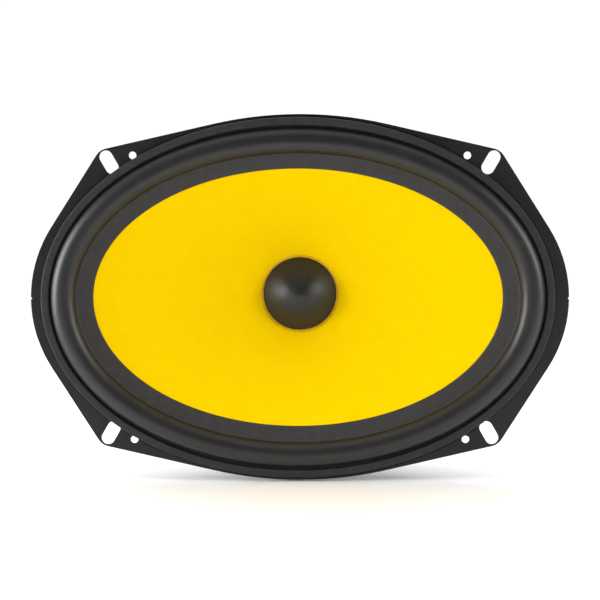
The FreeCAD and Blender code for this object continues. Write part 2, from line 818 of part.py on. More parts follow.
def spider():
    """The corrugated cloth disc: collar on the former, waves, then a flat rim on the landing."""
    cloth, wave, waves = size("spider_cloth"), size("spider_wave"), size("spider_waves")
    inner = size(f"{NECK_IN} + spider_cloth")
    flat = size("can_radius - spider_rim_gap")
    rim = size("landing_radius - spider_rim_gap")
    base = -size("landing_depth")
    steps = int(waves * WAVE_STEPS)

    def wavy(offset):
        points = []
        for step in range(steps + 1):
            share = step / steps
            radius = inner + (flat - inner) * share
            z = base + offset + wave * math.sin(2 * math.pi * waves * share)
            points.append(FreeCAD.Vector(radius, 0, z))
        return points

    lower, upper = Part.BSplineCurve(), Part.BSplineCurve()
    lower.interpolate(wavy(0))
    upper.interpolate(wavy(cloth))
    collar_in = size(NECK_IN)
    collar_top = base + cloth + size("spider_collar")
    corner = FreeCAD.Vector
    outline = [
        lower.toShape(),
        Part.makeLine(corner(flat, 0, base), corner(rim, 0, base)),
        Part.makeLine(corner(rim, 0, base), corner(rim, 0, base + cloth)),
        Part.makeLine(corner(rim, 0, base + cloth), corner(flat, 0, base + cloth)),
        upper.toShape(),
        Part.makeLine(corner(inner, 0, base + cloth), corner(inner, 0, collar_top)),
        Part.makeLine(corner(inner, 0, collar_top), corner(collar_in, 0, collar_top)),
        Part.makeLine(corner(collar_in, 0, collar_top), corner(collar_in, 0, base)),
        Part.makeLine(corner(collar_in, 0, base), corner(inner, 0, base)),
    ]
    return turned_feature("spider", outline)


# ---- motor ---------------------------------------------------------------------------------------


def outer_rims(shape, radius, z):
    """Names of the circular edges of a radius at a height."""
    return [
        f"Edge{number}"
        for number, edge in enumerate(shape.Edges, start=1)
        if abs(edge.BoundBox.XMax - radius) < 1e-3
        and abs(edge.BoundBox.ZMax - edge.BoundBox.ZMin) < 1e-3
        and abs(edge.BoundBox.ZMin - z) < 1e-3
    ]


def magnet():
    body = ring_body("magnet", "magnet_bore_radius", "magnet_radius", MAGNET_REAR, "magnet_thickness")
    doc.recompute()
    block = body.Tip
    radius = size("magnet_radius")
    edges = []
    for face in (MAGNET_REAR, PLATE_REAR):
        edges += outer_rims(block.Shape, radius, size(face))
    chamfer(body, block, edges, "magnet_chamfer", "magnet_edges")
    return body


def top_plate():
    body = ring_body(
        "top_plate",
        f"{FORMER_OUT} + winding_wall + outer_gap",
        "top_plate_radius",
        PLATE_REAR,
        "top_plate_thickness",
    )
    sketch = new_sketch(body, "plate_rivet_hole", height=PLATE_FRONT)
    add_circle(sketch, "rivet", "motor_rivet_radius + rivet_gap", RIVET_X, RIVET_Y)
    hole = pocket(body, sketch, "motor_rivet_depth + rivet_gap", "plate_rivet_pocket")
    polar(body, [hole], "motor_rivets", "plate_rivet_holes")
    return body


def yoke():
    """The back plate and the vented pole, forged in one."""
    pole = "former_radius - inner_gap"
    recess = "screen_radius + screen_gap"
    return turned_body(
        "yoke",
        [
            ("pole_vent_radius", f"{PLATE_FRONT} + pole_rise"),
            ("pole_vent_radius", f"{YOKE_REAR} + screen_thickness + screen_gap"),
            (recess, f"{YOKE_REAR} + screen_thickness + screen_gap"),
            (recess, YOKE_REAR),
            ("back_plate_radius - back_plate_chamfer", YOKE_REAR),
            ("back_plate_radius", f"{YOKE_REAR} + back_plate_chamfer"),
            ("back_plate_radius", MAGNET_REAR),
            (pole, MAGNET_REAR),
            (pole, f"{PLATE_FRONT} + pole_rise"),
        ],
    )


def vent_screen():
    body = new_body("vent_screen")
    disc = new_sketch(body, "screen_disc", height=YOKE_REAR)
    add_circle(disc, "edge", "screen_radius")
    pad(body, disc, "screen_thickness", "screen_pad")
    return body


def motor_rivets():
    body = new_body("motor_rivets")
    shank = new_sketch(body, "motor_rivet_shank", height=f"{PLATE_FRONT} - motor_rivet_depth")
    add_circle(shank, "shank", "motor_rivet_radius", RIVET_X, RIVET_Y)
    stem = pad(body, shank, "motor_rivet_depth + steel", "motor_rivet_stem")
    face = new_sketch(body, "motor_rivet_face", height=FLOOR)
    add_circle(face, "head", "motor_rivet_head", RIVET_X, RIVET_Y)
    head = pad(body, face, "motor_rivet_rise", "motor_rivet_cap")
    polar(body, [stem, head], "motor_rivets", "motor_rivet_set")
    return body


# ---- terminals and leads -------------------------------------------------------------------------


def terminal_board():
    blank = new_box(
        "board_blank",
        "board_width",
        f"{BOARD_OUTER} - {BOARD_INNER}",
        "board_thickness",
        "-board_width / 2",
        f"-{BOARD_OUTER}",
        "-landing_depth",
    )
    rounded = round_upright("board_plate", blank, "board_corner")
    return cut("terminal_board", rounded, fuse("board_holes", terminal_holes("board_hole")))


def terminal(name, side, width):
    """A flat blade: its tail holds the lead, the rivet goes through it, and the plug slides on its tip."""
    x = f"{side} * tab_spacing / 2"
    length = f"tab_reach + {EYELET_Y} + tab_tail"
    left = f"{x} - {width} / 2"
    blank = new_box(name + "_blank", width, length, "tab_thickness", left, "-tab_reach", BOARD_FRONT)
    tip = round_upright(name + "_rounded", blank, "tab_corner")
    deep = "2 * board_thickness + tab_thickness"
    hole_y = "-tab_reach + tab_hole_inset"
    hole = new_cylinder(name + "_hole", "tab_hole_radius", deep, x, hole_y, "-landing_depth")
    eye_radius = "terminal_rivet_head + tab_eye_margin"
    eye = new_cylinder(name + "_eye", eye_radius, "tab_thickness", x, EYELET_Y, BOARD_FRONT)
    rivet = terminal_holes(name + "_rivet_hole")[0 if side < 0 else 1]
    return cut(name, fuse(name + "_plate", [tip, eye]), fuse(name + "_holes", [hole, rivet]))


def terminal_rivets():
    shapes = []
    rear = "-landing_depth - steel"
    through = "steel + board_thickness + tab_thickness"
    head, rise = "terminal_rivet_head", "terminal_rivet_rise"
    for n, side in enumerate((-1, 1)):
        place = (f"{side} * tab_spacing / 2", EYELET_Y)
        shapes += [
            new_cylinder(f"terminal_stem_{n}", "terminal_rivet_radius", through, *place, rear),
            new_cylinder(f"terminal_head_{n}", head, rise, *place, TAB_FRONT),
            new_cylinder(f"terminal_upset_{n}", head, rise, *place, f"{rear} - {rise}"),
        ]
    return fuse("terminal_rivets", shapes)


def pad_top_z():
    """How high the back of the cone is above a solder pad's centre, by walking down its straight side."""
    across, down = size("pad_spacing / 2 + trim_shift"), size("pad_y")
    seat, reach_x, reach_y = size(SEAT), size(PAINT_X), size(PAINT_Y)
    low, high = 0.0, 1.0
    for _ in range(HALVINGS):
        share = (low + high) / 2
        a = seat + (reach_x - seat) * share
        b = seat + (reach_y - seat) * share
        outside = (across / a) ** 2 + (down / b) ** 2 > 1
        low, high = (share, high) if outside else (low, share)
    return -size("seat_depth") + (size(PAINT_Z) + size("seat_depth")) * share - size("paper")


def lead_pads(cone_piece):
    """The solder pads under the cone, each trimmed to the cone's back."""
    rear, x, y = pad_top_z() - size("pad_rise"), size("pad_spacing / 2"), -size("pad_y")
    tall = size("pad_rise + paper")
    shapes = [
        Part.makeCylinder(size("pad_radius"), tall, FreeCAD.Vector(side * x, y, rear)) for side in (-1, 1)
    ]
    feature = doc.addObject("Part::Feature", "lead_pads")
    feature.Shape = Part.Compound([behind_cone(shape.cut(cone_piece.Shape)) for shape in shapes])
    return feature


def behind_cone(shape):
    """The part of a trimmed pad that lies behind the cone."""
    return min(shape.Solids, key=lambda solid: solid.CenterOfMass.z)


def rounded_path(points):
    """Straight runs joined by tangent arcs as large as each pair of runs allows."""
    edges, here = [], points[0]
    for before, corner, after in zip(points, points[1:], points[2:]):
        back, ahead = before - corner, after - corner
        turn_angle = math.pi - back.getAngle(ahead)
        reach = BEND_SHARE * min(back.Length, ahead.Length)
        radius = reach / math.tan(turn_angle / 2)
        print(f"lead bend radius {radius:.1f}")
        start = corner + FreeCAD.Vector(back).normalize() * reach
        end = corner + FreeCAD.Vector(ahead).normalize() * reach
        inward = (FreeCAD.Vector(back).normalize() + FreeCAD.Vector(ahead).normalize()).normalize()
        centre = corner + inward * math.hypot(radius, reach)
        middle = centre - inward * radius
        edges.append(Part.LineSegment(here, start).toShape())
        edges.append(Part.Arc(start, middle, end).toShape())
        here = end
    edges.append(Part.LineSegment(here, points[-1]).toShape())
    return Part.Wire(edges)


def lead_route(side):
    """Down from the pad, low over the spider, over the landing's edge and down to the terminal's tail."""
    x = side * size("pad_spacing / 2")
    start_y, start_z = -size("pad_y"), pad_top_z() - size("pad_rise + lead_gap")
    low_y, low_z = start_y - size("lead_dip_reach"), start_z - size("lead_drop + lead_dip_drop")
    landing_y = -size("landing_radius")
    crest_y, crest_z = landing_y + size("lead_crest_inset"), size("lead_crest - landing_depth")
    end_y, end_z = size(f"{EYELET_Y} + tab_tail - lead_tail_inset"), size(f"{TAB_FRONT} + lead_gap")
    points = [
        (start_y, start_z),
        (start_y, start_z - size("lead_drop")),
        (low_y, low_z),
        (landing_y + size("lead_low_inset"), low_z + size("lead_low_rise")),
        (crest_y, crest_z),
        (crest_y - size("lead_crest_run"), crest_z - size("lead_crest_fall")),
        (end_y, end_z + size("lead_stand")),
        (end_y, end_z),
    ]
    return [FreeCAD.Vector(x, y, z) for y, z in points]


def lead(name, side):
    path = rounded_path(lead_route(side))
    first = path.Edges[0]
    direction = first.tangentAt(first.FirstParameter)
    radius = size("lead_radius")
    circle = Part.makeCircle(radius, first.valueAt(first.FirstParameter), direction)
    tube = path.makePipeShell([Part.Wire(circle)], True, False)
    fullness = tube.Volume / (math.pi * radius**2 * path.Length)
    print(f"{name} length {path.Length:.1f}, volume over section times length {fullness:.4f}")
    feature = doc.addObject("Part::Feature", name)
    feature.Shape = tube
    return feature


# ---- the whole speaker ---------------------------------------------------------------------------


def front_pieces():
    return {
        "basket": basket(),
        "gasket_ring": gasket_ring(),
        "surround": surround(),
        "cone": cone(),
        "dust_cap": dust_cap(),
        "dust_cap_glue": dust_cap_glue(),
    }


def coil_pieces():
    winding_out = f"{FORMER_OUT} + winding_wall"
    wrap_out = f"{FORMER_OUT} + wrap_wall"
    glue_in = f"{NECK_OUT} + glue_gap"
    coil_rear = f"{COIL_FRONT} - winding_length"
    former_rear = f"{coil_rear} - former_tail"
    former_length = f"-neck_depth - ({former_rear})"
    return {
        "coil_former": ring_body("coil_former", "former_radius", FORMER_OUT, former_rear, former_length),
        "voice_coil": ring_body("voice_coil", FORMER_OUT, winding_out, coil_rear, "winding_length"),
        "former_wrap": ring_body(
            "former_wrap", FORMER_OUT, wrap_out, f"{COIL_FRONT} + glue_gap", "wrap_length"
        ),
        "neck_glue": ring_body(
            "neck_glue", glue_in, f"{glue_in} + neck_glue_wall", NECK_END, "neck_glue_length"
        ),
        "spider": spider(),
    }


def motor_pieces():
    return {
        "top_plate": top_plate(),
        "magnet": magnet(),
        "yoke": yoke(),
        "vent_screen": vent_screen(),
        "motor_rivets": motor_rivets(),
    }


def terminal_pieces():
    return {
        "terminal_board": terminal_board(),
        "positive_terminal": terminal("positive_terminal", 1, "positive_tab_width"),
        "negative_terminal": terminal("negative_terminal", -1, "negative_tab_width"),
        "terminal_rivets": terminal_rivets(),
    }


def lead_pieces(cone_piece):
    return {
        "lead_pads": lead_pads(cone_piece),
        "positive_lead": lead("positive_lead", 1),
        "negative_lead": lead("negative_lead", -1),
    }


def build():
    fill_sheet()
    pieces = front_pieces() | coil_pieces() | motor_pieces() | terminal_pieces()
    doc.recompute()
    pieces |= lead_pieces(pieces["cone"])
    for name, piece in pieces.items():
        piece.Label = name
        piece.Placement = WORLD
    doc.recompute()
    return pieces


def check(pieces):
    for item in doc.Objects:
        faults = {"Invalid", "Error"} & set(item.State)
        if faults:
            raise RuntimeError(f"{item.Label} is {', '.join(sorted(faults))}")
    for name, piece in pieces.items():
        if piece.Shape.isNull() or not piece.Shape.isValid():
            raise RuntimeError(f"{name} has no valid shape")


def write(pieces):
    os.makedirs("parts", exist_ok=True)
    for name, piece in pieces.items():
        piece.Shape.exportStep(f"parts/{name}.step")


pieces = build()
check(pieces)
write(pieces)
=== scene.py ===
import json
import math

import bmesh
import bpy
import numpy as np
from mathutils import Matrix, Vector

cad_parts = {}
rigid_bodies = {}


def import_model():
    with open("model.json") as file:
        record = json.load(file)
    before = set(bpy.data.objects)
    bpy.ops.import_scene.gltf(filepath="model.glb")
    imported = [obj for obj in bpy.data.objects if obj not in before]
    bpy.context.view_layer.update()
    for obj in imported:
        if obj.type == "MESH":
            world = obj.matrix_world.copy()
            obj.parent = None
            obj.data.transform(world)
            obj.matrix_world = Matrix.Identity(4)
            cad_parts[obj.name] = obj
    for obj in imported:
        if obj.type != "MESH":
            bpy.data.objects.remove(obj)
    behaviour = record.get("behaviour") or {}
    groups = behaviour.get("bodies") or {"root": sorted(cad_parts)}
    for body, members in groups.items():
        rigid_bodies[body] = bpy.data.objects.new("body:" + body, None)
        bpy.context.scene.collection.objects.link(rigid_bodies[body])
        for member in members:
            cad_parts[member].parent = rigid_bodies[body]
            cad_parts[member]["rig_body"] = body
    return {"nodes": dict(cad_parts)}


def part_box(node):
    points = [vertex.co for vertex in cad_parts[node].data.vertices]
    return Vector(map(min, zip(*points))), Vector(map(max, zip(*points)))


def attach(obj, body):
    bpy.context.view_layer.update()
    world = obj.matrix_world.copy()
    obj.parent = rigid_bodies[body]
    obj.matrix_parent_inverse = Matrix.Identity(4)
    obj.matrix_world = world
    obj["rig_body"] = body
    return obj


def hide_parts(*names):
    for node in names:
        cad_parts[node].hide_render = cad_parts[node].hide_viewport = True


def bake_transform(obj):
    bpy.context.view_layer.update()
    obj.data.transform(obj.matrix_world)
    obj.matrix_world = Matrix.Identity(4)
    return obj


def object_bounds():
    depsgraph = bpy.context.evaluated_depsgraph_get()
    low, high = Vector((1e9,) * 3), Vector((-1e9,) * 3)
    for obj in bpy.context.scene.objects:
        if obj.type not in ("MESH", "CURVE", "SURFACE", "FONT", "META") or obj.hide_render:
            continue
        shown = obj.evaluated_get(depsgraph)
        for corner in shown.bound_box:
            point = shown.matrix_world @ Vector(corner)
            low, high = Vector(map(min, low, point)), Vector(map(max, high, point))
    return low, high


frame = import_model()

# An oval car woofer with a yellow cone. Sizes are millimetres about the speaker's axis: x along its
# long side, up, and forwards out of the front. The front faces -Y, and all that is built is in
# metres.

MM = 0.001
NODES = frame["nodes"]
CAD_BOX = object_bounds()
ROUND = 256  # steps round an oval or turned piece
HAIR = 0.02  # a hairline that keeps two faces from lying in one plane


def place(x, up, forward):
    """A point in the scene's metres."""
    return (x * MM, -forward * MM, up * MM)


def half_sizes(node):
    """Half length, half height and centre x of a CAD node, in millimetres."""
    low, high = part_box(node)
    return (high.x - low.x) / 2 / MM, (high.z - low.z) / 2 / MM, (high.x + low.x) / 2 / MM


def forwards(node):
    """How far forward a CAD node starts and ends, in millimetres."""
    low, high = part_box(node)
    return -high.y / MM, -low.y / MM


# ---- finishes ------------------------------------------------------------------------------------


class Finish:
    """A procedural material. Its textures are in the object's own millimetres."""

    def __init__(self, name, constants=None):
        self.material = bpy.data.materials.new(name)
        self.material.use_nodes = True
        self.tree = self.material.node_tree
        self.shader = self.tree.nodes["Principled BSDF"]
        for socket, value in (constants or {}).items():
            self.shader.inputs[socket].default_value = value
        metres = self.node("ShaderNodeTexCoord").outputs["Object"]
        scaled = self.node("ShaderNodeVectorMath", {0: metres, "Scale": 1 / MM}, operation="SCALE")
        self.mm = scaled.outputs[0]
        self.normal = None

    def node(self, kind, inputs=None, **settings):
        made = self.tree.nodes.new(kind)
        for name, value in settings.items():
            setattr(made, name, value)
        for name, value in (inputs or {}).items():
            if isinstance(value, bpy.types.NodeSocket):
                self.tree.links.new(value, made.inputs[name])
            else:
                made.inputs[name].default_value = value
        return made

    def math(self, operation, a, b=0.0):
        return self.node("ShaderNodeMath", {0: a, 1: b}, operation=operation).outputs[0]

    def noise(self, scale, detail=3.0, stretch=(1, 1, 1), distortion=0.0):
        vector = self.node("ShaderNodeMapping", {"Vector": self.mm, "Scale": stretch}).outputs[0]
        inputs = {"Vector": vector, "Scale": scale, "Detail": detail, "Distortion": distortion}
        return self.node("ShaderNodeTexNoise", inputs).outputs[0]

    def pebbles(self, scale, stretch=(1, 1, 1)):
        vector = self.node("ShaderNodeMapping", {"Vector": self.mm, "Scale": stretch}).outputs[0]
        cells = self.node("ShaderNodeTexVoronoi", {"Vector": vector, "Scale": scale})
        return cells.outputs["Distance"]

    def axes(self):
        return self.node("ShaderNodeSeparateXYZ", {0: self.mm}).outputs

    def radius(self):
        """Distance from the speaker's axis."""
        x, _, z = self.axes()
        squares = self.math("MULTIPLY", x, x), self.math("MULTIPLY", z, z)
        return self.math("SQRT", self.math("ADD", *squares))

    def ripple(self, value, per_unit, wander=None):
        """A sine from 0 to 1, with per_unit waves in each unit of value."""
        phase = self.math("MULTIPLY", value, 2 * math.pi * per_unit)
        if wander is not None:
            phase = self.math("ADD", phase, wander)
        return self.span(self.math("SINE", phase), 0.0, 1.0, -1.0, 1.0)

    def weave(self, a, b, per_unit):
        """Crossing threads, each lifted where it runs over the other."""
        over = self.math("MULTIPLY", self.ripple(a, per_unit), self.ripple(b, per_unit * 0.5))
        under_a = self.math("SUBTRACT", 1.0, self.ripple(b, per_unit * 0.5))
        under = self.math("MULTIPLY", self.ripple(b, per_unit), under_a)
        return self.math("MAXIMUM", over, under)

    def span(self, value, low, high, start=0.3, end=0.7):
        """The value from start..end, carried over to low..high."""
        inputs = {"Value": value, "From Min": start, "From Max": end, "To Min": low, "To Max": high}
        return self.node("ShaderNodeMapRange", inputs).outputs[0]

    def ramp(self, value, *stops):
        made = self.node("ShaderNodeValToRGB", {"Fac": value})
        elements = made.color_ramp.elements
        while len(elements) < len(stops):
            elements.new(0.5)
        for element, (position, colour) in zip(elements, stops):
            element.position = position
            element.color = (*colour, 1.0)
        return made.outputs["Color"]

    def mix(self, share, a, b, blend="MIX"):
        made = self.node("ShaderNodeMix", data_type="RGBA", blend_type=blend)
        for socket, value in ((made.inputs[0], share), (made.inputs[6], a), (made.inputs[7], b)):
            if isinstance(value, bpy.types.NodeSocket):
                self.tree.links.new(value, socket)
            else:
                socket.default_value = (*value, 1.0) if isinstance(value, tuple) else value
        return made.outputs[2]

    def colour(self, socket):
        self.tree.links.new(socket, self.shader.inputs["Base Color"])
        return self

    def rough(self, socket):
        self.tree.links.new(socket, self.shader.inputs["Roughness"])
        return self

    def bump(self, height, depth, strength=1.0):
        """Raises the surface by up to depth millimetres where height is 1."""
        inputs = {"Height": height, "Distance": depth * MM, "Strength": strength}
        if self.normal is not None:
            inputs["Normal"] = self.normal
        self.normal = self.node("ShaderNodeBump", inputs).outputs[0]
        self.tree.links.new(self.normal, self.shader.inputs["Normal"])
        return self


def grey(value, warmth=0.0):
    return (value * (1 + warmth), value, value * (1 - warmth))


def black_steel():
    """Satin black coating, with the slight orange peel and dust specks of a dipped pressing."""
    f = Finish("black_steel", {"Specular IOR Level": 0.35})
    cloud = f.noise(0.06, 4)
    specks = f.span(f.noise(1.7, 2), 0.0, 1.0, 0.66, 0.72)
    base = f.ramp(cloud, (0.3, grey(0.009)), (0.7, grey(0.014)))
    f.colour(f.mix(specks, base, grey(0.03, 0.03)))
    f.rough(f.span(f.noise(0.7, 4), 0.36, 0.5))
    f.bump(f.noise(0.45, 2), 0.05)
    return f.bump(f.noise(4.0, 2), 0.012).material


def gasket_rubber():
    """Moulded ring with a fine closed grain."""
    f = Finish("gasket_rubber", {"Specular IOR Level": 0.35})
    f.colour(f.ramp(f.noise(0.22, 5), (0.3, grey(0.018)), (0.7, grey(0.026))))
    f.rough(f.span(f.noise(1.4, 4), 0.5, 0.68))
    f.bump(f.pebbles(2.4), 0.02)
    return f.bump(f.noise(7.0, 3), 0.012).material


def surround_rubber():
    """Satin butyl skin: fine grain, faint flow marks round the roll."""
    f = Finish("surround_rubber", {"Specular IOR Level": 0.55})
    f.colour(f.ramp(f.noise(0.12, 4), (0.3, grey(0.010)), (0.7, grey(0.015))))
    f.rough(f.span(f.noise(0.9, 4), 0.36, 0.46))
    flow = f.noise(0.5, 3, (1, 1, 1), 1.2)
    f.bump(flow, 0.03)
    return f.bump(f.noise(6.0, 3), 0.014).material


def lip_rubber():
    """The surround's glued inner lip, dull where the glue was pressed and wiped."""
    f = Finish("lip_rubber", {"Specular IOR Level": 0.3})
    f.colour(f.ramp(f.noise(0.3, 5), (0.3, grey(0.032, 0.05)), (0.7, grey(0.040, 0.05))))
    f.rough(f.span(f.noise(1.2, 4), 0.55, 0.75))
    f.bump(f.noise(1.1, 3), 0.03)
    return f.bump(f.noise(6.5, 3), 0.016).material


def cone_face(name, bright, dull, grain):
    """Dyed pulp: a fine pressed weave under felted fibres."""
    f = Finish(name, {"Specular IOR Level": 0.0})
    mottle = f.noise(0.18, 6)
    base = f.ramp(mottle, (0.3, dull), (0.7, bright))
    fibres = f.noise(1.3, 4, (1, 1, 1), 2.5)
    f.colour(f.mix(f.span(fibres, 0.0, 0.5, 0.58, 0.75), base, dull))
    f.rough(f.span(f.noise(0.8, 4), 0.5, 0.66))
    x, _, z = f.axes()
    f.bump(f.weave(x, z, 0.9), 0.02 * grain)
    f.bump(f.pebbles(1.6), 0.02 * grain)
    return f.bump(fibres, 0.03 * grain).material


def cap_black():
    """Satin pressed cap, slightly uneven from its coating."""
    f = Finish("cap_black", {"Specular IOR Level": 0.5})
    f.colour(f.ramp(f.noise(0.25, 4), (0.3, grey(0.012)), (0.7, grey(0.017))))
    f.rough(f.span(f.noise(1.1, 4), 0.36, 0.44))
    f.bump(f.noise(0.35, 2), 0.03)
    return f.bump(f.noise(5.0, 3), 0.01).material


def glue():
    """Clear-drying cement, brown where it is thick."""
    f = Finish("glue", {"Specular IOR Level": 0.7, "Coat Weight": 0.6, "Coat Roughness": 0.08})
    f.colour(f.ramp(f.noise(0.5, 4), (0.3, (0.05, 0.028, 0.008)), (0.7, (0.12, 0.075, 0.02))))
    f.rough(f.span(f.noise(1.2, 3), 0.12, 0.3))
    return f.bump(f.noise(0.9, 3), 0.12).material


def painted_shadow_black():
    """Near-black and dull, slightly stringy: painted shadow for the gap at the gasket's foot."""
    f = Finish("painted_shadow_black", {"Specular IOR Level": 0.15})
    f.colour(f.ramp(f.noise(0.8, 4), (0.3, grey(0.003)), (0.7, grey(0.006))))
    f.rough(f.span(f.noise(1.2, 3), 0.55, 0.8))
    return f.bump(f.noise(1.8, 4), 0.05).material


def clear_cement():
    """Clear cement over the dyed paper: the cone's colour, deeper and glossy."""
    gloss = {"Specular IOR Level": 0.45, "Coat Weight": 0.15, "Coat Roughness": 0.1}
    f = Finish("clear_cement", gloss)
    f.colour(f.ramp(f.noise(0.8, 4), (0.3, (0.62, 0.33, 0.002)), (0.7, (0.80, 0.48, 0.002))))
    f.rough(f.span(f.noise(1.4, 3), 0.14, 0.3))
    return f.bump(f.noise(1.6, 3), 0.06).material


def rolled_metal(name, dark, light, rough, stretch):
    """Sheet metal with rolling lines and small scratches."""
    f = Finish(name, {"Metallic": 1.0})
    f.colour(f.ramp(f.noise(0.4, 5, stretch), (0.3, dark), (0.7, light)))
    f.rough(f.span(f.noise(0.9, 5, stretch), rough - 0.07, rough + 0.12))
    f.bump(f.noise(3.0, 4, stretch), 0.012)
    return f.bump(f.noise(0.3, 3), 0.03).material


def copper_wire():
    """Enamelled round wire, wound side by side along the axis, with painted shade between the
    turns.
    """
    f = Finish("copper_wire", {"Metallic": 1.0, "Coat Weight": 0.5, "Coat Roughness": 0.2})
    turns = f.ripple(f.axes()[1], 2.9)
    # the colour darkens between the turns: painted shade
    f.colour(f.ramp(turns, (0.1, (0.16, 0.045, 0.015)), (0.8, (0.72, 0.27, 0.11))))
    f.rough(f.span(f.noise(1.5, 3), 0.25, 0.4))
    return f.bump(turns, 0.12).material


def wrap_paper():
    """Brown kraft paper, its fibres running round the former."""
    f = Finish("wrap_paper", {"Specular IOR Level": 0.3})
    fibres = f.noise(0.9, 6, (1, 3, 1))
    f.colour(f.ramp(fibres, (0.3, (0.20, 0.13, 0.07)), (0.7, (0.32, 0.22, 0.13))))
    f.rough(f.span(f.noise(2.0, 4), 0.6, 0.85))
    return f.bump(f.noise(2.5, 5, (1, 4, 1)), 0.05).material


def spider_cloth():
    """Woven cotton, stiffened with resin: threads with painted shade between them, and darker where
    the waves lie furthest back.
    """
    f = Finish("spider_cloth", {"Specular IOR Level": 0.35, "Sheen Weight": 0.15})
    x, depth, z = f.axes()
    threads = f.weave(x, z, 1.25)
    valley = f.span(depth, 0.0, 0.6, 33.0, 35.6)
    # thread colour darkens where the threads dip: painted shade between them
    cloth = f.ramp(threads, (0.0, (0.20, 0.105, 0.025)), (1.0, (0.55, 0.36, 0.13)))
    f.colour(f.mix(valley, cloth, (0.26, 0.13, 0.035)))
    f.rough(f.span(f.noise(0.7, 4), 0.5, 0.75))
    f.bump(threads, 0.14)
    return f.bump(f.noise(2.2, 4), 0.03).material


def turned_steel():
    """Zinc-plated steel with the rings that a lathe leaves, and a dull patchy passivation."""
    f = Finish("turned_steel", {"Metallic": 1.0})
    patches = f.noise(0.5, 6)
    f.colour(f.ramp(patches, (0.3, (0.30, 0.30, 0.305)), (0.7, (0.38, 0.38, 0.375))))
    rings = f.node("ShaderNodeCombineXYZ", {0: f.radius()}).outputs[0]
    lathe = {"Vector": rings, "Scale": 2.2, "Detail": 6.0}
    marks = f.node("ShaderNodeTexNoise", lathe).outputs[0]
    f.rough(f.math("ADD", f.span(patches, 0.26, 0.34), f.span(marks, 0.0, 0.12)))
    f.bump(marks, 0.08)
    return f.bump(f.noise(1.6, 4), 0.02).material


def ferrite():
    """Pressed and ground ceramic magnet: charcoal, with grinding arcs, pits with painted shade in
    them, and pale dust.
    """
    f = Finish("ferrite", {"Specular IOR Level": 0.45})
    cloud = f.noise(0.08, 6)
    base = f.ramp(cloud, (0.3, grey(0.022, 0.02)), (0.7, grey(0.042, 0.02)))
    pits = f.span(f.pebbles(0.9), 1.0, 0.0, 0.05, 0.16)
    dust = f.span(f.noise(1.1, 6), 0.0, 0.5, 0.62, 0.75)
    # the pits are darkened in colour: painted shade
    f.colour(f.mix(dust, f.mix(pits, base, grey(0.008)), grey(0.12, 0.05)))
    f.rough(f.span(f.noise(0.6, 5), 0.42, 0.7))
    f.bump(f.noise(0.8, 5, (0.15, 1, 1)), 0.03)
    return f.bump(f.math("SUBTRACT", 1.0, pits), 0.1).material


def board_laminate():
    """Brown paper laminate, with its layers showing on the edges."""
    gloss = {"Specular IOR Level": 0.5, "Coat Weight": 0.25, "Coat Roughness": 0.25}
    f = Finish("board_laminate", gloss)
    layers = f.ripple(f.axes()[1], 3.2, f.math("MULTIPLY", f.noise(0.6, 3), 1.5))
    fibre = f.noise(1.4, 6, (0.3, 1, 2.5))
    base = f.ramp(fibre, (0.3, (0.16, 0.062, 0.020)), (0.7, (0.30, 0.135, 0.048)))
    f.colour(f.mix(f.math("MULTIPLY", layers, 0.35), base, (0.10, 0.035, 0.012)))
    f.rough(f.span(f.noise(1.0, 4), 0.3, 0.5))
    f.bump(layers, 0.02)
    return f.bump(fibre, 0.03).material


def tinsel():
    """Copper foil wound on thread: short bright glints across each strand."""
    f = Finish("tinsel_lead", {"Metallic": 1.0})
    foil = f.noise(3.2, 3, (1, 1, 3))
    f.colour(f.ramp(foil, (0.3, (0.30, 0.13, 0.055)), (0.7, (0.86, 0.50, 0.30))))
    f.rough(f.span(f.noise(2.0, 3), 0.28, 0.5))
    return f.bump(foil, 0.1).material


def solder():
    """Dull tin, a little lumpy from the iron."""
    f = Finish("solder", {"Metallic": 1.0})
    f.colour(f.ramp(f.noise(0.9, 4), (0.3, (0.42, 0.42, 0.43)), (0.7, (0.66, 0.66, 0.66))))
    f.rough(f.span(f.noise(1.6, 3), 0.2, 0.42))
    return f.bump(f.noise(1.5, 3), 0.12).material


STEEL = black_steel()
GASKET = gasket_rubber()
RUBBER = surround_rubber()
LIP = lip_rubber()
YELLOW = cone_face("yellow_cone", (0.905, 0.605, 0.0010), (0.890, 0.580, 0.0010), 1.0)
YELLOW_BACK = cone_face("cone_back", (0.62, 0.37, 0.016), (0.55, 0.32, 0.013), 2.5)
CAP = cap_black()
GLUE = glue()
CEMENT = clear_cement()
# near-black band round the gasket: painted shadow for the gap at its foot
PAINTED_SHADOW_BLACK = painted_shadow_black()
ALUMINIUM = rolled_metal(
    "former_aluminium", (0.70, 0.70, 0.72), (0.84, 0.84, 0.85), 0.3, (1, 0.15, 1)
)
COPPER = copper_wire()
PAPER = wrap_paper()
CLOTH = spider_cloth()
ZINC = turned_steel()
FERRITE = ferrite()
WIRE = rolled_metal("screen_wire", (0.42, 0.42, 0.44), (0.66, 0.66, 0.68), 0.3, (1, 1, 1))
BOARD = board_laminate()
TAB = rolled_metal("tab_brass", (0.62, 0.58, 0.48), (0.80, 0.77, 0.68), 0.28, (1, 1, 0.12))
TINSEL = tinsel()
SOLDER = solder()


# ---- mesh pieces ---------------------------------------------------------------------------------


def new_object(name, mesh, materials):
    """The mesh as an object in the scene."""
    for material in materials:
        mesh.materials.append(material)
    obj = bpy.data.objects.new(name, mesh)
    bpy.context.scene.collection.objects.link(obj)
    return obj


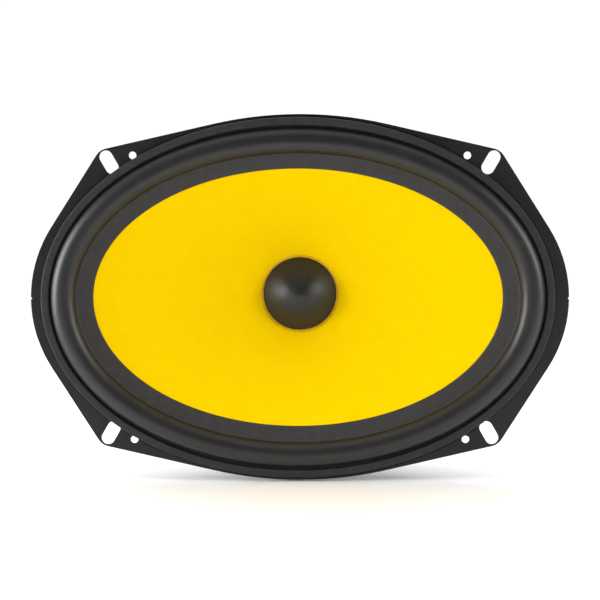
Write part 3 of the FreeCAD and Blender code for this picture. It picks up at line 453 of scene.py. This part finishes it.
def build(name, points, faces, materials, merge=False, sharp=40.0, indices=None):
    """A smooth-shaded object, with edges over sharp degrees kept crisp."""
    mesh = bpy.data.meshes.new(name)
    mesh.from_pydata(points, [], faces)
    if indices is not None:
        mesh.polygons.foreach_set("material_index", indices)
    work = bmesh.new()
    work.from_mesh(mesh)
    if merge:
        bmesh.ops.remove_doubles(work, verts=work.verts, dist=1e-7)
    bmesh.ops.recalc_face_normals(work, faces=work.faces)
    work.to_mesh(mesh)
    work.free()
    mesh.shade_smooth()
    mesh.set_sharp_from_angle(angle=math.radians(sharp))
    return new_object(name, mesh, materials)


def settle(obj, body, slot, *replaced):
    """The piece rides on a body, in place of the CAD nodes named."""
    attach(obj, body)
    if replaced:
        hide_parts(*replaced)
    return obj


def stretch(obj, weights, slot, *replaced):
    """Bakes the piece's transform and hides the CAD nodes named in its place; the weights are not
    used.
    """
    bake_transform(obj)
    np.asarray(weights, np.float32)
    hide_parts(*replaced)
    return obj


def smooth(share):
    """The share from 0 to 1, eased at both ends."""
    share = min(1.0, max(0.0, share))
    return share * share * (3 - 2 * share)


def swept(stations, count=ROUND, closed=True):
    """Points and faces round the axis through (half length, half height, forward, centre x)."""
    angles = [2 * math.pi * k / count for k in range(count)]
    points = [
        place(x + a * math.cos(t), b * math.sin(t), z) for a, b, z, x in stations for t in angles
    ]
    rows = len(stations)
    faces = []
    for i in range(rows if closed else rows - 1):
        near, far = i * count, (i + 1) % rows * count
        for k in range(count):
            m = (k + 1) % count
            faces.append((near + k, near + m, far + m, far + k))
    return points, faces


def angled(points, count=ROUND):
    """Each swept point with its station's number and its angle round the axis."""
    for number, point in enumerate(points):
        row, turn = divmod(number, count)
        yield row, 2 * math.pi * turn / count, point


def tube_faces(start, rows, sides):
    """Faces of a tube with closed ends, whose rings of points begin at start."""
    faces = []
    for k in range(rows - 1):
        for s in range(sides):
            a, b = start + k * sides + s, start + k * sides + (s + 1) % sides
            faces.append((a, b, b + sides, a + sides))
    last = start + (rows - 1) * sides
    return faces + [tuple(range(start, start + sides)), tuple(range(last, last + sides))]


def arc(across, forward, radius, start, end, steps):
    """Points of an arc in a section, from start to end degrees: 0 is outwards and 90 forwards."""
    turns = [math.radians(start + (end - start) * k / steps) for k in range(steps + 1)]
    return [(across + radius * math.cos(t), forward + radius * math.sin(t)) for t in turns]


def refined(node, name, material, width):
    """A CAD node's own shape with its sharp edges rounded by width."""
    flat, sharp = math.radians(0.3), math.radians(32)
    work = bmesh.new()
    work.from_mesh(NODES[node].data)
    bmesh.ops.remove_doubles(work, verts=work.verts, dist=1e-6)
    bmesh.ops.dissolve_limit(work, angle_limit=flat, verts=work.verts, edges=work.edges)
    work.normal_update()
    edges = [e for e in work.edges if len(e.link_faces) == 2 and e.calc_face_angle(0) > sharp]
    bmesh.ops.bevel(
        work, geom=edges, offset=width * MM, segments=2, profile=0.5,
        affect="EDGES", clamp_overlap=True,
    )
    bmesh.ops.triangulate(work, faces=[f for f in work.faces if len(f.verts) > 4])
    mesh = bpy.data.meshes.new(name)
    work.to_mesh(mesh)
    work.free()
    mesh.shade_smooth()
    mesh.set_sharp_from_angle(angle=math.radians(50))
    obj = new_object(name, mesh, [material])
    obj.modifiers.new("even_normals", "WEIGHTED_NORMAL").keep_sharp = True
    return settle(obj, NODES[node]["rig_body"], NODES[node].data.materials[0].name, node)


# ---- camera, floor and light ---------------------------------------------------------------------


def camera():
    """In front of the speaker and a little above it."""
    distance, rise, drop = 0.900, math.radians(4.8), 0.00085
    data = bpy.data.cameras.new("camera")
    data.lens = 123
    data.sensor_width = 36
    obj = bpy.data.objects.new("camera", data)
    bpy.context.scene.collection.objects.link(obj)
    obj.location = (0, -distance * math.cos(rise), distance * math.sin(rise))
    aim = Vector((0, 0, -drop)) - obj.location
    obj.rotation_euler = aim.to_track_quat("-Z", "Y").to_euler()
    bpy.context.scene.camera = obj


def softbox(name, location, size, power):
    """A rectangular light that faces the speaker."""
    data = bpy.data.lights.new(name, "AREA")
    data.shape = "RECTANGLE"
    data.size, data.size_y = size
    data.energy = power
    obj = bpy.data.objects.new(name, data)
    bpy.context.scene.collection.objects.link(obj)
    obj.location = location
    obj.rotation_euler = (-Vector(location)).to_track_quat("-Z", "Y").to_euler()


def sky(diffuse, glossy, seen):
    """A white surround with its own strength for matt light, for reflections and for the camera."""
    world = bpy.data.worlds.new("studio")
    world.use_nodes = True
    bpy.context.scene.world = world
    tree = world.node_tree
    background = tree.nodes["Background"]
    background.inputs["Color"].default_value = (1, 1, 1, 1)
    rays = tree.nodes.new("ShaderNodeLightPath")
    for_glossy, for_camera = (tree.nodes.new("ShaderNodeMapRange") for _ in range(2))
    for_glossy.inputs["To Min"].default_value = diffuse
    for_glossy.inputs["To Max"].default_value = glossy
    for_camera.inputs["To Max"].default_value = seen
    tree.links.new(rays.outputs["Is Glossy Ray"], for_glossy.inputs["Value"])
    tree.links.new(rays.outputs["Is Camera Ray"], for_camera.inputs["Value"])
    tree.links.new(for_glossy.outputs[0], for_camera.inputs["To Min"])
    tree.links.new(for_camera.outputs[0], background.inputs["Strength"])


def sun_light():
    """Broad soft light from above, which lays the shadow on the floor."""
    data = bpy.data.lights.new("sky_light", "SUN")
    data.energy = 1.0
    data.angle = math.radians(75)
    obj = bpy.data.objects.new("sky_light", data)
    bpy.context.scene.collection.objects.link(obj)
    obj.rotation_euler = (math.radians(-4), math.radians(-4), 0)


def studio():
    """A white room with softboxes at the sides, above and behind."""
    bpy.context.scene.view_settings.view_transform = "Standard"
    sky(diffuse=0.60, glossy=0.12, seen=1.05)
    softbox("left_softbox", (-0.80, -0.16, 0.06), (0.42, 0.6), 9.5)
    softbox("right_softbox", (0.80, -0.24, 0.24), (0.36, 0.5), 3.7)
    softbox("top_softbox", (0.0, 0.62, 0.85), (0.9, 0.5), 4.5)
    softbox("rear_left", (-0.75, 0.62, 0.30), (0.5, 0.6), 4.5)
    softbox("rear_right", (0.75, 0.55, 0.20), (0.4, 0.5), 2.8)
    sun_light()


def floor():
    """A sheet of pale paper, just under the flange's lowest edge."""
    f = Finish("floor_paper", {"Specular IOR Level": 0.1})
    f.colour(f.ramp(f.noise(0.01, 4), (0.3, grey(0.83)), (0.7, grey(0.85))))
    f.rough(f.span(f.noise(0.2, 3), 0.7, 0.9))
    f.bump(f.noise(0.8, 3), 0.02)
    side, front, back, gap = 0.6, -0.42, 0.6, 0.0003
    level = CAD_BOX[0].z - gap
    ends = ((-side, front), (side, front), (side, back), (-side, back))
    corners = [(x, y, level) for x, y in ends]
    build("floor", corners, [(0, 1, 2, 3)], [f.material])


camera()
studio()
floor()


# ---- front ---------------------------------------------------------------------------------------

GASKET_A, GASKET_B, TRIM_X = half_sizes("gasket_ring")
GASKET_REAR, GASKET_FRONT = forwards("gasket_ring")
GASKET_WIDE, ROLL_GAP_A, ROLL_GAP_B = 3.5, 0.4, 0.95
ROLL_HALF = 5.6
ROLL_A = GASKET_A - GASKET_WIDE - ROLL_GAP_A - ROLL_HALF
ROLL_B = GASKET_B - GASKET_WIDE - ROLL_GAP_B - ROLL_HALF
STEEL_THICK, SKIN, PAPER_THICK, LIP_SETBACK = 1.2, 0.6, 0.8, 0.6
ROLL_RISE = forwards("surround")[1] - STEEL_THICK
LIP_WIDE, LIP_DROP = 6.8, 2.2
END_LIP_EXTRA = 0.75  # the lip is a little wider at the oval's two ends
PAINT_A = ROLL_A - ROLL_HALF - LIP_WIDE - END_LIP_EXTRA
PAINT_B = ROLL_B - ROLL_HALF - LIP_WIDE
PAINT_Z = STEEL_THICK - LIP_DROP
SEAT_R, SEAT_Z = 17.5, -24.0
NECK_R, NECK_Z = 13.05, -28.0
# x, up and radius of a screw hole, and of the slot's end that is nearer the gasket
SCREW_HOLE, SLOT_END = (73.0, 62.5, 1.68), (82.0, 57.25, 2.9)


def about(a, b, section):
    """Stations round an oval from a section of (outwards, forwards) points."""
    return [(a + out - end_extra(out), b + out, z, TRIM_X) for out, z in section]


def end_extra(out):
    """How much more the section reaches in at the oval's ends, beyond the roll's inner foot."""
    share = (-out - ROLL_HALF) / LIP_WIDE
    return END_LIP_EXTRA * min(1.0, max(0.0, share))


def gasket():
    """The moulded ring, with its two front edges rounded."""
    rear, front, wide, crown = GASKET_REAR, GASKET_FRONT, GASKET_WIDE, 0.55
    section = [(0.0, rear)]
    section += arc(-crown, front - crown, crown, 0, 90, 5)
    section += [(-wide * 0.35, front), (-wide * 0.65, front)]
    section += arc(-wide + crown, front - crown, crown, 90, 180, 5)
    section += [(-wide, rear)]
    points, faces = swept(about(GASKET_A, GASKET_B, section))
    obj = build("gasket_moulding", points, faces, [GASKET])
    settle(obj, "frame", "gasket_rubber", "gasket_ring")


def clear_of_holes(x, up):
    """0 over the flange's holes and slots, 1 away from them."""
    bare, fade = 0.4, 1.5
    holes = SCREW_HOLE, SLOT_END
    gap = min(math.hypot(abs(x) - a, abs(up) - b) - radius for a, b, radius in holes)
    return smooth((gap - bare) / fade)


def gasket_painted_shadow():
    """A near-black band round the gasket's foot, painted shadow for the gap there, cut back round
    the holes.
    """
    foot, spread, rise, tucked, under = STEEL_THICK, 0.75, 0.22, 0.6, 0.5
    section = [(-tucked, foot - HAIR), (-tucked, foot + rise)]
    section += [(spread * t, foot + rise * (1 - t * t)) for t in (0.0, 0.3, 0.55, 0.75, 0.9, 1.0)]
    section += [(spread, foot - HAIR)]
    points, faces = swept([(GASKET_A, GASKET_B, z, TRIM_X) for _, z in section])
    pressed = []
    for row, t, (_, y, _) in angled(points):
        x, up = TRIM_X + GASKET_A * math.cos(t), GASKET_B * math.sin(t)
        wander = 1 + 0.12 * math.sin(5 * t + 0.4) + 0.08 * math.sin(13 * t)
        wander += 0.06 * math.sin(31 * t + 1.0)
        out = section[row][0]
        if out >= 0:
            out = (out + under) * wander * clear_of_holes(x, up) - under
        pressed.append(place(x + out * math.cos(t), up + out * math.sin(t), -y / MM))
    settle(build("gasket_painted_shadow", pressed, faces, [PAINTED_SHADOW_BLACK]), "frame", "glue")


def half_roll(half, rise, first, last, steps=28):
    """Points over the roll's crest, from first to last degrees."""
    turns = [math.radians(first + (last - first) * k / steps) for k in range(steps + 1)]
    return [(half * math.cos(t), STEEL_THICK + rise * math.sin(t)) for t in turns]


def on_lip(reach, lift):
    """A point of the inner lip: reach in from the roll's foot, and lift above the cone's rim."""
    slope = LIP_DROP / (LIP_WIDE + SKIN / 2)
    return (-ROLL_HALF - reach, PAINT_Z + lift + (LIP_WIDE - reach) * slope)


def surround_section():
    """The skin's front as far as the roll's inner foot, the lip's front, and the back."""
    outer = GASKET_A - LIP_SETBACK - ROLL_A
    top, foot = STEEL_THICK + SKIN, 0.35
    front = [(outer, STEEL_THICK), (outer, top - 0.1), (outer - 0.1, top)]
    front += [(ROLL_HALF + foot, top), (ROLL_HALF + foot * 0.25, top + foot * 0.2)]
    front += half_roll(ROLL_HALF, ROLL_RISE, 12, 168)
    lip = [(-ROLL_HALF - 0.08, top + 0.22), (-ROLL_HALF - 0.30, top - 0.12)]
    lip += [on_lip(reach, SKIN) for reach in (0.7, 2.2, 3.7, 5.2, 6.35)]
    lip += [on_lip(6.65, SKIN * 0.82), on_lip(LIP_WIDE, SKIN * 0.45), on_lip(LIP_WIDE, HAIR)]
    back = [on_lip(LIP_WIDE / 2, HAIR), on_lip(0.1, HAIR)]
    back += half_roll(ROLL_HALF - SKIN, ROLL_RISE - SKIN, 178, 2)
    return front, lip, back


def surround():
    """Outer lip, half roll with tight feet, and inner lip lying on the cone's rim."""
    front, lip, back = surround_section()
    section = front + lip + back
    points, faces = swept(about(ROLL_A, ROLL_B, section))
    shares = [smooth((ROLL_HALF - out) / (2 * ROLL_HALF)) for out, _ in section]
    weights = [share for share in shares for _ in range(ROUND)]
    lip_rows = range(len(front), len(front) + len(lip) - 1)
    indices = [int(i in lip_rows) for i in range(len(section)) for _ in range(ROUND)]
    obj = build("surround_skin", points, faces, [RUBBER, LIP], indices=indices)
    stretch(obj, weights, "surround_rubber", "surround")


def cone_wall(lift, shares):
    """Stations from the cap's seat, at share 0, out to the lip's edge, at share 1."""
    return [
        (
            SEAT_R + (PAINT_A - SEAT_R) * s,
            SEAT_R + (PAINT_B - SEAT_R) * s,
            SEAT_Z + (PAINT_Z - SEAT_Z) * s - lift,
            TRIM_X * s,
        )
        for s in shares
    ]


def cone():
    """Front face down to the cap's seat and into the neck, then the back face."""
    steps, paper, neck_end = 20, PAPER_THICK, forwards("cone")[0]
    shares = [k / steps for k in range(steps + 1)]
    rim_a, rim_b = ROLL_A - ROLL_HALF + SKIN / 2, ROLL_B - ROLL_HALF + SKIN / 2
    outside = NECK_R + paper
    front = [(rim_a, rim_b, STEEL_THICK, TRIM_X)] + cone_wall(0.0, reversed(shares))
    front += [(NECK_R, NECK_R, NECK_Z, 0.0), (NECK_R, NECK_R, neck_end, 0.0)]
    back = [(outside, outside, neck_end + 0.2, 0.0), (outside, outside, NECK_Z - paper / 2, 0.0)]
    back += cone_wall(paper, shares) + [(rim_a, rim_b, STEEL_THICK - paper, TRIM_X)]
    stations = front + back
    points, faces = swept(stations)
    indices = [int(i >= len(front) - 1) for i in range(len(stations)) for _ in range(ROUND)]
    obj = build("cone_paper", points, faces, [YELLOW, YELLOW_BACK], sharp=25, indices=indices)
    settle(obj, "diaphragm", "yellow_cone", "cone")


def dust_cap():
    """A dome that falls away faster and faster from a soft point, with a turned-in rim."""
    low, high = forwards("dust_cap")
    radius = half_sizes("dust_cap")[0]
    power, wall, steps = 1.6, 0.6, 40
    height = high - low
    inner = radius * (1 - wall / height) ** (1 / power)

    def crown(reach, lift, shares):
        radii = [reach * math.sin(math.pi / 2 * s) for s in shares]
        return [(r, r, low + height * (1 - (r / radius) ** power) - lift, 0.0) for r in radii]

    shares = [k / steps for k in range(steps + 1)]
    stations = crown(radius, 0.0, shares)
    stations += [(radius + HAIR, radius + HAIR, low + HAIR, 0.0)]
    stations += crown(inner, wall, reversed(shares))
    points, faces = swept(stations, closed=False)
    obj = build("cap_dome", points, faces, [CAP], merge=True)
    settle(obj, "diaphragm", "cap_black", "dust_cap")


def glue_bead():
    """The fillet of cement between the cap's rim and its seat, a little uneven, as it was laid."""
    section = [
        (16.20, -25.00), (16.40, -24.62), (16.56, -24.46), (16.80, -24.32),
        (17.05, -24.16), (17.30, -24.00), (17.55, -23.93), (17.62, -24.30),
    ]
    points, faces = swept([(r, r, z, 0.0) for r, z in section])
    uneven = []
    for row, t, (x, y, z) in angled(points):
        swell = 0.5 * math.sin(3 * t + 0.6) + 0.35 * math.sin(7 * t + 2.0) + 0.2 * math.sin(17 * t)
        lift = 0.07 * MM * swell if 1 < row < len(section) - 2 else 0.0
        uneven.append((x, y - lift, z))
    settle(build("cap_bead", uneven, faces, [CEMENT]), "diaphragm", "glue", "dust_cap_glue")


gasket()
gasket_painted_shadow()
surround()
cone()
dust_cap()
glue_bead()


# ---- behind the cone -----------------------------------------------------------------------------

CLOTH_THICK, WAVE, WAVES, WAVE_STEPS = 0.5, 1.3, 5, 16
SPIDER_Z, COLLAR_R, FLAT_R, SPIDER_ROUND = -34.0, 13.55, 42.6, 192
LEAD_X = 11.0  # how far each lead is from the middle
STRANDS, STRAND_SIDES = 3, 8
STRAND_R, STRAND_ORBIT, TWIST_PITCH = 0.37 * MM, 0.40 * MM, 3.6 * MM
SOLDER_UP, SOLDER_Z, SOLDER_R, SOLDER_RISE = -57.6, -31.6, 1.25, 1.15
SCREEN_PITCH, SCREEN_WIRE, WIRE_SIDES = 0.8, 0.14, 6


def spider_section():
    """Collar, waves and rim as (radius, forward), out along the back and in along the front."""
    steps = WAVES * WAVE_STEPS
    rim, top = half_sizes("spider")[0], forwards("spider")[1]
    front = SPIDER_Z + CLOTH_THICK

    def wavy(z, order):
        shares = [k / steps for k in order]
        return [
            (COLLAR_R + (FLAT_R - COLLAR_R) * s, z + WAVE * math.sin(2 * math.pi * WAVES * s))
            for s in shares
        ]

    section = [(COLLAR_R - CLOTH_THICK, SPIDER_Z), (COLLAR_R, SPIDER_Z + 0.01)]
    section += wavy(SPIDER_Z, range(1, steps + 1))
    section += [(rim, SPIDER_Z), (rim, front)] + wavy(front, range(steps, 0, -1))
    section += [(COLLAR_R + 0.15, front + 0.3), (COLLAR_R, front + 0.8), (COLLAR_R, top - 0.1)]
    return section + [(COLLAR_R - 0.1, top), (COLLAR_R - CLOTH_THICK, top)]


def spider():
    """Corrugated cloth: collar on the former, waves, and a flat rim glued to the landing."""
    section = spider_section()
    points, faces = swept([(r, r, z, 0.0) for r, z in section], SPIDER_ROUND)
    shares = [smooth((FLAT_R - r) / (FLAT_R - COLLAR_R)) for r, _ in section]
    weights = [share for share in shares for _ in range(SPIDER_ROUND)]
    stretch(build("spider_disc", points, faces, [CLOTH]), weights, "spider_cloth", "spider")


def lead_route(side):
    """The lead's corners from the pad under the cone to the terminal's tail."""
    points = [
        (-30.0, -18.62), (-30.0, -23.62), (-33.5, -27.32), (-43.0, -26.62),
        (-50.0, -23.0), (-54.9, -23.8), (-57.6, -27.55), (-57.6, -31.55),
    ]
    return [place(side * LEAD_X, up, forward) for up, forward in points]


def centreline(points):
    """Closely spaced points along the NURBS through a route's corners."""
    curve = bpy.data.curves.new("route", "CURVE")
    curve.dimensions = "3D"
    curve.resolution_u = 40
    spline = curve.splines.new("NURBS")
    spline.points.add(len(points) - 1)
    for control, corner in zip(spline.points, points):
        control.co = (*corner, 1.0)
    spline.order_u = 3
    spline.use_endpoint_u = True
    obj = bpy.data.objects.new("route", curve)
    bpy.context.scene.collection.objects.link(obj)
    mesh = bpy.data.meshes.new_from_object(obj)
    line = [v.co.copy() for v in mesh.vertices]
    bpy.data.objects.remove(obj)
    bpy.data.meshes.remove(mesh)
    bpy.data.curves.remove(curve)
    return line


def resampled(line, step):
    """The line at even steps, and its length."""
    lengths = [0.0]
    for a, b in zip(line, line[1:]):
        lengths.append(lengths[-1] + (b - a).length)
    length = lengths[-1]
    count = round(length / step)
    columns = [[point[axis] for point in line] for axis in range(3)]
    even = [
        Vector([np.interp(length * k / count, lengths, column) for column in columns])
        for k in range(count + 1)
    ]
    return even, length


def strand(line, length, first_turn):
    """Rings of points along one strand, which winds round the lead's centreline."""
    across, rows, points = Vector((1, 0, 0)), len(line), []
    for k, centre in enumerate(line):
        tangent = (line[min(k + 1, rows - 1)] - line[max(k - 1, 0)]).normalized()
        up = tangent.cross(across).normalized()
        turn = 2 * math.pi * (first_turn + length * k / (rows - 1) / TWIST_PITCH)
        hub = centre + (across * math.cos(turn) + up * math.sin(turn)) * STRAND_ORBIT
        for s in range(STRAND_SIDES):
            t = 2 * math.pi * s / STRAND_SIDES
            points.append(hub + (across * math.cos(t) + up * math.sin(t)) * STRAND_R)
    return points


def lead(name, side):
    """A lead of twisted strands, from its pad to its terminal."""
    step = 0.25 * MM
    line, length = resampled(centreline(lead_route(side)), step)
    rows = len(line)
    points, faces = [], []
    for number in range(STRANDS):
        faces += tube_faces(len(points), rows, STRAND_SIDES)
        points += strand(line, length, number / STRANDS)
    shares = [smooth(1 - k / (rows - 1)) for k in range(rows) for _ in range(STRAND_SIDES)]
    obj = build(name + "_braid", points, faces, [TINSEL], sharp=60)
    stretch(obj, shares * STRANDS, "tinsel_lead", name)


def solder_joint(name, side):
    """The blob that holds a lead on the tail of its terminal."""
    rings, count = 9, 32
    heights = [math.pi / 2 * k / rings for k in range(rings + 1)]
    stations = [
        (SOLDER_R * math.cos(t) ** 0.8, SOLDER_Z + SOLDER_RISE * math.sin(t)) for t in heights
    ]
    points, faces = swept([(r, r, z, 0.0) for r, z in stations], count, closed=False)
    moved = []
    for _, t, (x, y, z) in angled(points, count):
        swell = 1 + 0.05 * math.sin(2 * t + side) + 0.03 * math.sin(5 * t)
        moved.append((x * swell + side * LEAD_X * MM, y, z * swell + SOLDER_UP * MM))
    obj = build(name, moved, faces, [SOLDER], merge=True)
    settle(obj, "frame", "tinsel_lead")


def woven_wire(number, crossing, reach, middle):
    """Rings of points along a screen wire, bent over and under the wires that cross it."""
    aside = number * SCREEN_PITCH
    half = math.sqrt(reach ** 2 - aside ** 2)
    steps = max(4, int(2 * half / SCREEN_PITCH * 6))  # six to each crossing
    points = []
    for k in range(steps + 1):
        u = -half + 2 * half * k / steps
        lift = SCREEN_WIRE * 0.9 * math.cos(math.pi * (u / SCREEN_PITCH + number + crossing))
        for s in range(WIRE_SIDES):
            t = 2 * math.pi * s / WIRE_SIDES
            v, z = aside + SCREEN_WIRE * math.cos(t), middle + lift + SCREEN_WIRE * math.sin(t)
            points.append(place(v, u, z) if crossing else place(u, v, z))
    return points


def vent_screen():
    """Wires one way and across, inside a pressed rim."""
    low, high = forwards("vent_screen")
    middle, reach, rim, rim_round = (low + high) / 2, half_sizes("vent_screen")[0], 0.35, 96
    count = int((reach - 0.5) / SCREEN_PITCH)
    points, faces = [], []
    for crossing in (0, 1):
        for number in range(-count, count + 1):
            wire = woven_wire(number, crossing, reach - 0.45, middle)
            faces += tube_faces(len(points), len(wire) // WIRE_SIDES, WIRE_SIDES)
            points += wire
    section = arc(reach - rim, middle, rim, 180, -180, 14)[:-1]
    rim_points, rim_faces = swept([(r, r, z, 0.0) for r, z in section], rim_round)
    faces += [tuple(len(points) + i for i in face) for face in rim_faces]
    obj = build("screen_weave", points + rim_points, faces, [WIRE], sharp=60)
    settle(obj, "frame", "screen_mesh", "vent_screen")


spider()
for terminal_name, terminal_side in (("positive", 1), ("negative", -1)):
    lead(terminal_name + "_lead", terminal_side)
    solder_joint(terminal_name + "_solder", terminal_side)
vent_screen()

# CAD nodes that keep their own shape, each with how far its edges are rounded
for node_name, piece_name, finish, rounding in (
    ("basket", "basket_pressing", STEEL, 0.28),
    ("top_plate", "front_plate", ZINC, 0.3),
    ("magnet", "magnet_ring", FERRITE, 0.25),
    ("yoke", "back_plate_and_pole", ZINC, 0.3),
    ("motor_rivets", "rivet_heads", ZINC, 0.35),
    ("terminal_board", "board", BOARD, 0.12),
    ("positive_terminal", "positive_blade", TAB, 0.12),
    ("negative_terminal", "negative_blade", TAB, 0.12),
    ("terminal_rivets", "eyelets", TAB, 0.18),
    ("lead_pads", "pad_glue", GLUE, 0.3),
    ("coil_former", "former_tube", ALUMINIUM, 0.06),
    ("voice_coil", "coil_winding", COPPER, 0.15),
    ("former_wrap", "former_paper", PAPER, 0.06),
    ("neck_glue", "neck_bead", GLUE, 0.4),
):
    refined(node_name, piece_name, finish, rounding)
